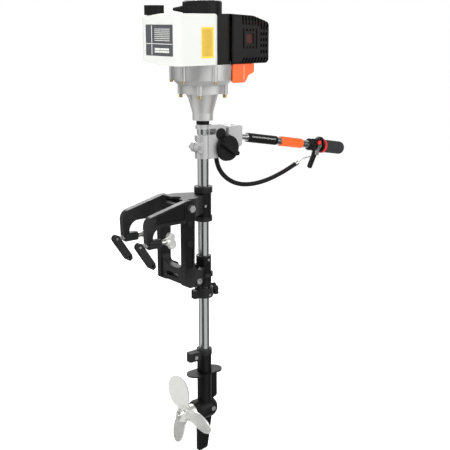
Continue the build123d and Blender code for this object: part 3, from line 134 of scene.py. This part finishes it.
# ---- finishes ----
# colour, second colour for patches and worn edges, metal, roughness from and to, grain scale, bump, wear
finishes = {
    "bracketBlack": ((0.003, 0.003, 0.0032), (0.035, 0.035, 0.037), 0.0, 0.34, 0.5, 500, 0.12, 0.8),
    "bareSteel": ((0.60, 0.60, 0.59), (0.42, 0.42, 0.41), 1.0, 0.22, 0.4, 700, 0.05, 0.2),
    "castAluminium": ((0.60, 0.60, 0.59), (0.42, 0.42, 0.42), 0.75, 0.36, 0.55, 900, 0.25, 0.3),
    "brightAluminium": ((0.76, 0.76, 0.73), (0.66, 0.66, 0.64), 0.65, 0.24, 0.38, 900, 0.03, 0.2),
    "legAluminium": ((0.58, 0.585, 0.59), (0.45, 0.46, 0.47), 1.0, 0.14, 0.26, 600, 0.04, 0.1),
    "blackPlastic": ((0.004, 0.004, 0.004), (0.02, 0.02, 0.02), 0.0, 0.42, 0.58, 900, 0.12, 0.5),
    "orangePlastic": ((0.90, 0.105, 0.004), (0.75, 0.08, 0.004), 0.0, 0.28, 0.4, 300, 0.02, 0.2),
    "tankPlastic": ((0.63, 0.64, 0.61), (0.57, 0.58, 0.55), 0.0, 0.35, 0.45, 300, 0.03, 0.1),
    "greyCast": ((0.46, 0.46, 0.46), (0.60, 0.60, 0.60), 0.6, 0.36, 0.52, 900, 0.25, 0.6),
    "gripRubber": ((0.028, 0.028, 0.03), (0.045, 0.045, 0.045), 0.0, 0.6, 0.75, 900, 0.2, 0.2),
    "blackRubber": ((0.006, 0.006, 0.006), (0.02, 0.02, 0.02), 0.0, 0.45, 0.6, 900, 0.1, 0.2),
    "redPlastic": ((0.62, 0.02, 0.015), (0.5, 0.02, 0.015), 0.0, 0.3, 0.42, 300, 0.02, 0.1),
    "nylon": ((0.62, 0.60, 0.52), (0.5, 0.48, 0.42), 0.0, 0.45, 0.6, 300, 0.05, 0.1),
    "iron": ((0.12, 0.09, 0.075), (0.06, 0.05, 0.045), 0.8, 0.5, 0.75, 500, 0.3, 0.2),
    "yellowZinc": ((0.66, 0.50, 0.22), (0.5, 0.38, 0.2), 1.0, 0.25, 0.4, 500, 0.05, 0.2),
    "domeGrey": ((0.10, 0.10, 0.105), (0.14, 0.14, 0.14), 0.2, 0.3, 0.42, 400, 0.05, 0.2),
    "labelDark": ((0.055, 0.06, 0.065), (0.08, 0.08, 0.085), 0.0, 0.35, 0.45, 200, 0.0, 0.0),
    "labelYellow": ((0.85, 0.55, 0.03), (0.78, 0.50, 0.03), 0.0, 0.32, 0.42, 200, 0.0, 0.0),
    # white of the print on the tiller sleeve and tank label, also used for the painted highlight on the
    # cowl seam
    "whitePrintAndSeamHighlight": ((0.75, 0.75, 0.72), (0.68, 0.68, 0.66), 0.0, 0.5, 0.6, 200, 0.0, 0.0),
    "printDark": ((0.05, 0.04, 0.03), (0.07, 0.06, 0.05), 0.0, 0.5, 0.6, 200, 0.0, 0.0),
    # red tint of the cover, darkened as painted shade for the shaded inside seen through it
    "shadedRedTint": ((0.06, 0.005, 0.005), (0.06, 0.006, 0.006), 0.0, 0.5, 0.7, 200, 0.0, 0.0),
}


def makeFinish(name, values):
    colour, second, metal, roughFrom, roughTo, scale, bumpStrength, wear = values
    material = bpy.data.materials.new(name)
    material.use_nodes = True
    tree, links = material.node_tree, material.node_tree.links
    shader = tree.nodes["Principled BSDF"]
    shader.inputs["Metallic"].default_value = metal
    grain = tree.nodes.new("ShaderNodeGroup")
    grain.node_tree = grainGroup
    grain.inputs["Scale"].default_value = scale
    grain.inputs["Patches"].default_value = 22.0
    worn = tree.nodes.new("ShaderNodeGroup")
    worn.node_tree = wearGroup
    worn.inputs["Amount"].default_value = wear
    links.new(grain.outputs["Broad"], worn.inputs["Noise"])
    mix = tree.nodes.new("ShaderNodeMix")
    mix.data_type = "RGBA"
    mix.inputs["A"].default_value = (*colour, 1)
    mix.inputs["B"].default_value = (*second, 1)
    links.new(worn.outputs["Mask"], mix.inputs["Factor"])
    links.new(mix.outputs["Result"], shader.inputs["Base Color"])
    rough = tree.nodes.new("ShaderNodeMapRange")
    rough.inputs["From Min"].default_value = 0.3
    rough.inputs["From Max"].default_value = 0.7
    rough.inputs["To Min"].default_value = roughFrom
    rough.inputs["To Max"].default_value = roughTo
    links.new(grain.outputs["Broad"], rough.inputs["Value"])
    links.new(rough.outputs["Result"], shader.inputs["Roughness"])
    if bumpStrength:
        bump = tree.nodes.new("ShaderNodeBump")
        bump.inputs["Strength"].default_value = bumpStrength
        bump.inputs["Distance"].default_value = 0.0002
        links.new(grain.outputs["Fine"], bump.inputs["Height"])
        links.new(bump.outputs["Normal"], shader.inputs["Normal"])
    return material


materials = {name: makeFinish(name, values) for name, values in finishes.items()}
for name in ("bracketBlack", "blackPlastic", "blackRubber", "gripRubber"):
    materials[name].node_tree.nodes["Principled BSDF"].inputs["Specular IOR Level"].default_value = 0.2
tankShader = materials["tankPlastic"].node_tree.nodes["Principled BSDF"]
tankShader.inputs["Subsurface Weight"].default_value = 0.35
tankShader.inputs["Subsurface Radius"].default_value = (0.01, 0.01, 0.008)
tankShader.inputs["Subsurface Scale"].default_value = 0.5

finishOf = {
    "bracketBlack": ["clamp_bracket", "upper_swivel_sleeve", "lower_swivel_sleeve",
                     "friction_collar", "friction_knob", "gear_case", "bearing_carrier", "neck_ring",
                     "left_screw_lever", "right_screw_lever"],
    "bareSteel": ["tilt_bolt", "left_clamp_screw", "right_clamp_screw", "swivel_bolts", "leg_bolts",
                  "ball_bearings", "spark_plug", "crankshaft", "drive_shaft", "clutch_drum",
                  "propeller_shaft", "prop_pin", "lever_bracket"],
    "castAluminium": ["clutch_housing", "fan_housing", "crankcase", "cylinder", "piston",
                      "carburettor", "flywheel"],
    "brightAluminium": ["propeller", "left_clamp_pad", "right_clamp_pad"],
    "legAluminium": ["leg_tube", "tiller_tube"],
    "blackPlastic": ["air_filter_cover", "engine_shroud", "cylinder_cover", "starter_housing",
                     "tiller_knob", "throttle_lever", "switch_housing", "starter_handle",
                     "fuel_cap", "choke_lever"],
    "orangePlastic": ["lower_cowl"],
    "tankPlastic": ["fuel_tank"],
    "greyCast": ["tiller_bracket", "tiller_head"],
    "gripRubber": ["grip"],
    "blackRubber": ["bracket_plug", "control_conduit", "throttle_cable"],
    "redPlastic": ["stop_button", "grip_flange"],
    "nylon": ["swivel_bushes", "shaft_bushes"],
    "iron": ["muffler", "clutch_shoes"],
    "yellowZinc": ["engine_bolts"],
}
for finish, members in finishOf.items():
    for member in members:
        nodes[member].data.materials.clear()
        nodes[member].data.materials.append(materials[finish])

softened = {  # edge radius in metres
    "clamp_bracket": 0.0012, "upper_swivel_sleeve": 0.0008, "lower_swivel_sleeve": 0.0008,
    "tiller_bracket": 0.0008, "tiller_head": 0.0010, "clutch_housing": 0.0006,
    "fan_housing": 0.0006, "gear_case": 0.0008, "left_screw_lever": 0.0008,
    "right_screw_lever": 0.0008, "friction_collar": 0.0006, "tiller_knob": 0.0012,
    "throttle_lever": 0.0008, "lower_cowl": 0.0006, "starter_housing": 0.0008,
    "fuel_cap": 0.0005, "propeller": 0.0005,
}
for name, radius in softened.items():
    bevel = nodes[name].modifiers.new("softEdge", "BEVEL")
    bevel.width = radius
    bevel.segments = 2
    bevel.limit_method = "ANGLE"
    bevel.angle_limit = math.radians(40)
    bevel.harden_normals = False
print("finishes assigned")

# ---- mesh helpers ----


def addMesh(name, points, faces, finish, body, smooth=False):
    mesh = bpy.data.meshes.new(name)
    mesh.from_pydata([tuple(p) for p in points], [], faces)
    mesh.update()
    if smooth:
        mesh.polygons.foreach_set("use_smooth", [True] * len(mesh.polygons))
    piece = bpy.data.objects.new(name, mesh)
    bpy.context.collection.objects.link(piece)
    mesh.materials.append(materials[finish])
    if body:
        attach(piece, body)
    return piece


def axesFor(direction):
    along = Vector(direction).normalized()
    side = along.cross(Vector((0, 0, 1)))
    if side.length < 0.01:
        side = Vector((0, 1, 0))
    side.normalize()
    return along, side, side.cross(along)


def lathe(name, origin, direction, profile, finish, body, steps=48):
    # profile is (distance along, radius) pairs in millimetres, closed on itself
    along, side, up = axesFor(direction)
    points, faces = [], []
    count = len(profile)
    for i in range(steps):
        angle = 2 * math.pi * i / steps
        outward = side * math.cos(angle) + up * math.sin(angle)
        for distance, radius in profile:
            points.append(Vector(origin) + along * distance / 1000 + outward * radius / 1000)
    for i in range(steps):
        j = (i + 1) % steps
        for k in range(count):
            m = (k + 1) % count
            faces.append((i * count + k, j * count + k, j * count + m, i * count + m))
    return addMesh(name, points, faces, finish, body)


def tube(name, origin, direction, start, end, inner, outer, finish, body, edge=0.6):
    profile = [(start, inner), (start, outer - edge), (start + edge, outer), (end - edge, outer),
               (end, outer - edge), (end, inner)]
    return lathe(name, origin, direction, profile, finish, body)


def boxes(name, origin, uAxis, vAxis, items, thick, finish, body):
    # items are (u0, v0, u1, v1) rectangles in millimetres on the plane of the two axes
    u, v = Vector(uAxis).normalized(), Vector(vAxis).normalized()
    n = u.cross(v)
    points, faces = [], []
    for u0, v0, u1, v1 in items:
        first = len(points)
        for lift in (0, thick):
            for a, b in ((u0, v0), (u1, v0), (u1, v1), (u0, v1)):
                points.append(Vector(origin) + (u * a + v * b + n * lift) / 1000)
        for face in ((3, 2, 1, 0), (4, 5, 6, 7), (0, 1, 5, 4), (1, 2, 6, 5), (2, 3, 7, 6), (3, 0, 4, 7)):
            faces.append(tuple(first + c for c in face))
    return addMesh(name, points, faces, finish, body)


def textRows(u0, v0, u1, v1, rows, rowHeight, rng):
    # rows of short bars that read as small print
    items = []
    pitch = (v1 - v0) / rows
    for r in range(rows):
        at = u0
        low = v0 + r * pitch
        while at < u1 - 1.2:
            width = min(rng.uniform(1.0, 4.5), u1 - at)
            items.append((at, low, at + width, low + rowHeight))
            at += width + 0.8
    return items


# ---- tiller ----
tiller = {"start": (0.227, 0, 0.168), "droop": 9.7}  # metres, degrees
droop = math.radians(tiller["droop"])
tillerDir = Vector((math.cos(droop), 0, -math.sin(droop)))
tillerUp = Vector((math.sin(droop), 0, math.cos(droop)))


tube("tillerSleeveBlack", tiller["start"], tillerDir, 1, 96, 10.05, 11.2, "blackPlastic", "tiller")
tube("tillerSleeveOrange", tiller["start"], tillerDir, 110, 184, 10.05, 12.2, "orangePlastic",
     "tiller", edge=1.2)
sleevePrint = {"seed": 7, "from": 10, "to": 88, "lift": 11.22}
rng = random.Random(sleevePrint["seed"])
faceUp = (tillerUp * 0.35 + Vector((0, -1, 0)) * 0.94).normalized()
sideways = tillerDir.cross(faceUp)
rowAt = Vector(tiller["start"]) + faceUp * sleevePrint["lift"] / 1000
boxes("tillerSleevePrint", rowAt, tillerDir, -sideways,
      textRows(sleevePrint["from"], -2.0, sleevePrint["to"], 2.0, 2, 0.7, rng), 0.15,
      "whitePrintAndSeamHighlight", "tiller")
for i in range(5):  # raised rings of the grip
    s = 272 + 12 * i
    tube("gripRing" + str(i), tiller["start"], tillerDir, s, s + 5, 15.5, 16.6, "gripRubber",
         "tiller")
tube("flangeBack", tiller["start"], tillerDir, 250, 255.6, 10.1, 17.0, "blackPlastic", "tiller")
for i, x in enumerate((0.166, 0.183)):  # socket screws down in the head's pockets
    lathe("headScrew" + str(i), (x, 0, 0.196), (0, 0, 1),
          [(0.2, 0.2), (0.2, 4.4), (4.6, 4.4), (4.6, 2.4), (2.0, 2.4), (2.0, 0.2)], "bareSteel",
          "tiller", steps=24)
print("tiller dressed")

# ---- engine head ----
for i in range(4):  # thread of the neck ring
    z = 0.2103 + 0.0022 * i
    tube("neckThread" + str(i), (0.096, 0, z), (0, 0, 1), 0, 1.3, 14.3, 15.2, "bracketBlack", "leg",
         edge=0.4)
lathe("starterDome", (0.096, 0, 0.4832), (0, 0, 1),
      [(7.9, 0.1), (5.9, 14), (1.0, 27.6), (0.6, 27.6), (5.4, 14), (7.4, 0.1)], "domeGrey", "leg",
      steps=64)
for i in range(12):  # ribs round the starter
    a = math.radians(30 * i + 10)
    out = Vector((math.cos(a), math.sin(a), 0))
    side = Vector((-math.sin(a), math.cos(a), 0))
    boxes("starterRib" + str(i), Vector((0.096, 0, 0.457)) + out * 0.0438, side, (0, 0, 1),
          [(-1.2, 0, 1.2, 22)], 0.5, "blackPlastic", "leg")
# dark red sheets just inside the cover: painted shade standing in for the shaded inside seen through the
# red-tinted cover and its slots
boxes("coverPaintedShadePanel", (0.150, -0.0655, 0.370), (1, 0, 0), (0, 0, 1), [(0, 0, 54, 58)], 0.5,
      "shadedRedTint", "leg")
boxes("coverSlotPaintedShade", (0.150, -0.0655, 0.432), (1, 0, 0), (0, 0, 1), [(0, 0, 76, 5)], 0.5,
      "shadedRedTint", "leg")
# thin white strip on the cowl's parting line: a painted highlight where the seam catches the light
boxes("highlightOnCowlSeam", (0.166, -0.0620, 0.3085), (1, 0, 0), (0, 0, 1), [(0, 0, 0.7, 36)], 0.12,
      "whitePrintAndSeamHighlight", "leg")

labels = {"seed": 3, "darkPlace": (-0.0240, 0.047, 0.366), "yellowPlace": (0.0405, -0.0690, 0.361)}
rng = random.Random(labels["seed"])
boxes("tankLabelDark", labels["darkPlace"], (0, -1, 0), (0, 0, 1), [(0, 0, 101, 66)], 0.25,
      "labelDark", "leg")
darkPrint = [(22, 2, 24, 64), (2, 25, 99, 26.2)]
darkPrint += textRows(34, 7, 88, 18, 2, 4.2, rng)
darkPrint += textRows(34, 32, 90, 60, 7, 1.4, rng)
boxes("tankLabelPrint", Vector(labels["darkPlace"]) + Vector((-0.00025, 0, 0)), (0, -1, 0), (0, 0, 1),
      darkPrint, 0.1, "whitePrintAndSeamHighlight", "leg")
boxes("tankLabelYellow", labels["yellowPlace"], (1, 0, 0), (0, 0, 1), [(0, 0, 33.5, 66)], 0.25,
      "labelYellow", "leg")
upright = [(v0, u0, v1, u1) for u0, v0, u1, v1 in textRows(4, 3, 63, 31, 9, 1.3, rng)]
boxes("tankLabelYellowPrint", Vector(labels["yellowPlace"]) + Vector((0, -0.00025, 0)), (1, 0, 0),
      (0, 0, 1), upright, 0.1, "printDark", "leg")
lathe("tankNub", (0.020, -0.020, 0.4548), (0, 0, 1), [(0, 0.2), (0, 4), (2.5, 3), (2.5, 0.2)],
      "tankPlastic", "leg", steps=24)
print("engine head dressed")

# ---- starter rope: it stretches between the housing and the handle ----
rope = {"angle": 135, "from": 41, "to": 52, "radius": 1.6, "rings": 12, "steps": 12}
a = math.radians(rope["angle"])
ropeDir = Vector((math.cos(a), math.sin(a), 0))
ropeBase = Vector((0.096, 0, 0.465))
along, side, up = axesFor(ropeDir)
points, faces = [], []
rings, steps = rope["rings"], rope["steps"]
for r in range(rings):
    reach = rope["from"] + (rope["to"] - rope["from"]) * r / (rings - 1)
    for i in range(steps):
        turn = 2 * math.pi * i / steps
        outward = side * math.cos(turn) + up * math.sin(turn)
        points.append(ropeBase + (along * reach + outward * rope["radius"]) / 1000)
for r in range(rings - 1):
    for i in range(steps):
        j = (i + 1) % steps
        faces.append((r * steps + i, r * steps + j, (r + 1) * steps + j, (r + 1) * steps + i))
ropePiece = addMesh("starterRope", points, faces, "printDark", None, smooth=True)
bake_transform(ropePiece)

# ---- cords ----


def layRoute(name, route):  # smooth line with the route's points as its control points
    data = bpy.data.curves.new(name, "CURVE")
    data.dimensions = "3D"
    data.resolution_u = 12
    spline = data.splines.new("NURBS")
    spline.points.add(len(route) - 1)
    for point, place in zip(spline.points, route):
        point.co = (place[0] / 1000, place[1] / 1000, place[2] / 1000, 1)
    spline.order_u = 3
    spline.use_endpoint_u = True
    line = bpy.data.objects.new(name, data)
    bpy.context.collection.objects.link(line)
    return line, data


def cordCurve(name, route, radius, finish, body):
    piece, data = layRoute(name, route)
    data.bevel_depth = radius / 1000
    data.bevel_resolution = 5
    data.use_fill_caps = True
    data.materials.append(materials[finish])
    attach(piece, body)
    return piece


def cordLine(name, route):  # points along the smooth line, for a tube made of mesh
    line, data = layRoute(name, route)
    centre = [v.co.copy() for v in bpy.data.meshes.new_from_object(line).vertices]
    bpy.data.objects.remove(line)
    return centre


def conduitMesh(name, centre, radius, finish, steps=16):
    points, faces = [], []
    last = len(centre) - 1
    for i, place in enumerate(centre):
        along = (centre[min(i + 1, last)] - centre[max(i - 1, 0)]).normalized()
        side = along.cross(Vector((0, 1, 0))).normalized()
        up = side.cross(along)
        for k in range(steps):
            turn = 2 * math.pi * k / steps
            points.append(place + (side * math.cos(turn) + up * math.sin(turn)) * radius / 1000)
    for i in range(last):
        for k in range(steps):
            m = (k + 1) % steps
            faces.append((i * steps + k, i * steps + m, (i + 1) * steps + m, (i + 1) * steps + k))
    faces.append(tuple(range(steps - 1, -1, -1)))
    faces.append(tuple(last * steps + k for k in range(steps)))
    return addMesh(name, points, faces, finish, None, smooth=True)


conduitRoute = [(134, 0, 132), (136, -1, 114), (147, -2, 92), (170, -2, 71), (204, -1, 56),
                (246, 0, 51), (292, 0, 55), (336, 0, 66), (374, 0, 79), (398, 0, 89)]
cableRoute = [(400, 0, 90), (412, 0, 95.5), (428, 0, 99), (446, 0, 100)]
cords = {"conduitLength": 0.309, "cableLength": 0.0474, "conduitRadius": 5.5, "cableRadius": 1.3}
conduitCentre = cordLine("conduitRoute", conduitRoute)
conduit = conduitMesh("conduitLoop", conduitCentre, cords["conduitRadius"], "blackRubber")
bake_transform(conduit)
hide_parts("control_conduit")
ferrule = tube("conduitFerrule", (0.3975, 0, 0.0888), (24, 0, 10), -9, 2, 5.4, 6.4, "bareSteel", "tiller",
               edge=0.8)
cable = cordCurve("throttleWire", cableRoute, cords["cableRadius"], "bareSteel", "tiller")
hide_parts("throttle_cable")
print("cords laid")

# ---- floor and light ----
studio = {"floorDrop": 0.66, "floorGlow": 0.3, "worldLight": 0.75, "backdrop": 1.0, "bands": 3,
          "bandDark": 0.06}
bpy.ops.mesh.primitive_plane_add(size=120, location=(0, 0, -studio["floorDrop"]))
floor = bpy.context.object
floor.name = "floor"
floorMaterial = bpy.data.materials.new("floorPale")
floorMaterial.use_nodes = True
floorShader = floorMaterial.node_tree.nodes["Principled BSDF"]
floorShader.inputs["Base Color"].default_value = (0.95, 0.95, 0.95, 1)
floorShader.inputs["Roughness"].default_value = 0.85
floorShader.inputs["Emission Color"].default_value = (1, 1, 1, 1)
floorShader.inputs["Emission Strength"].default_value = studio["floorGlow"]
floor.visible_glossy = False  # metal reflects the banded studio below the horizon too
floor.data.materials.append(floorMaterial)

bpy.context.scene.view_settings.view_transform = "Standard"
world = bpy.data.worlds.new("studio")  # white to the eye, with darker bands for metal to reflect
bpy.context.scene.world = world
world.use_nodes = True
skyNodes, skyLinks = world.node_tree.nodes, world.node_tree.links
background = skyNodes["Background"]
skyCoordinates = skyNodes.new("ShaderNodeTexCoord")
skySplit = skyNodes.new("ShaderNodeSeparateXYZ")
skyLinks.new(skyCoordinates.outputs["Generated"], skySplit.inputs["Vector"])
skyTurn = skyNodes.new("ShaderNodeMath")
skyTurn.operation = "ARCTAN2"
skyLinks.new(skySplit.outputs["Y"], skyTurn.inputs[0])
skyLinks.new(skySplit.outputs["X"], skyTurn.inputs[1])
skyWave = skyNodes.new("ShaderNodeMath")
skyWave.operation = "MULTIPLY"
skyWave.inputs[1].default_value = studio["bands"]
skyLinks.new(skyTurn.outputs["Value"], skyWave.inputs[0])
skySine = skyNodes.new("ShaderNodeMath")
skySine.operation = "SINE"
skyLinks.new(skyWave.outputs["Value"], skySine.inputs[0])
skyRange = skyNodes.new("ShaderNodeMapRange")
skyRange.inputs["From Min"].default_value = -0.8
skyRange.inputs["From Max"].default_value = 0.1
skyRange.inputs["To Min"].default_value = studio["bandDark"]
skyRange.inputs["To Max"].default_value = 1.0
skyLinks.new(skySine.outputs["Value"], skyRange.inputs["Value"])
skyPath = skyNodes.new("ShaderNodeLightPath")
skyPick = skyNodes.new("ShaderNodeMix")
skyPick.data_type = "RGBA"
skyPick.inputs["A"].default_value = (1, 1, 1, 1)
skyLinks.new(skyPath.outputs["Is Glossy Ray"], skyPick.inputs["Factor"])
skyLinks.new(skyRange.outputs["Result"], skyPick.inputs["B"])
skyLinks.new(skyPick.outputs["Result"], background.inputs["Color"])
skyStrength = skyNodes.new("ShaderNodeMapRange")  # the backdrop is brighter than the light it gives
skyStrength.inputs["To Min"].default_value = studio["worldLight"]
skyStrength.inputs["To Max"].default_value = studio["backdrop"]
skyLinks.new(skyPath.outputs["Is Camera Ray"], skyStrength.inputs["Value"])
skyLinks.new(skyStrength.outputs["Result"], background.inputs["Strength"])

lamps = {  # place, watts, size
    "keyLight": ((-1.7, -0.9, 1.9), 46, 1.0),
    "fillLight": ((1.2, -1.9, 0.8), 14, 1.4),
    "backLight": ((0.9, 1.8, 1.5), 40, 1.2),
}
for name, (place, power, size) in lamps.items():
    data = bpy.data.lights.new(name, "AREA")
    data.energy = power
    data.size = size
    lamp = bpy.data.objects.new(name, data)
    lamp.location = place
    aim = Vector((0.15, 0, 0.0)) - Vector(place)
    lamp.rotation_mode = "QUATERNION"
    lamp.rotation_quaternion = aim.to_track_quat("-Z", "Y")
    bpy.context.collection.objects.link(lamp)
print("studio lit")
